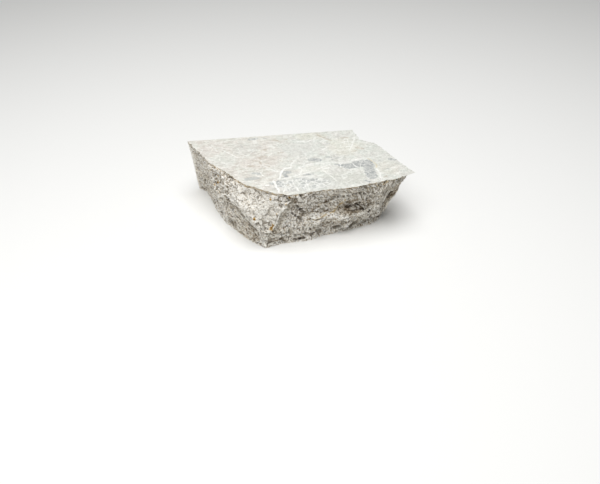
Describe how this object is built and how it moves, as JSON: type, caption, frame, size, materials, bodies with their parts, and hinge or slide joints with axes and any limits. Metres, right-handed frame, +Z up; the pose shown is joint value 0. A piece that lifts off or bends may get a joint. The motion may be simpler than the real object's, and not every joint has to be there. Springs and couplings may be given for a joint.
{
  "type": "veined limestone block",
  "caption": "Natural stone block with a sawn top, underside and back, and rough split faces on its other sides, for display or landscaping.",
  "frame": {"origin": "middle of the block's footprint box, on the plane that the sawn underside rests on", "axes": "+X along the sawn back face, towards the thin beak at the block's right end; +Y to the sawn back face; +Z up, out of the sawn top"},
  "size_m": [0.2216, 0.1222, 0.06],
  "materials": {
    "limestone": "honed on the sawn faces, rough and crystalline on the split faces"
  },
  "bodies": {
    "root": {"limestone_block": "limestone"}
  },
  "joints": []
}
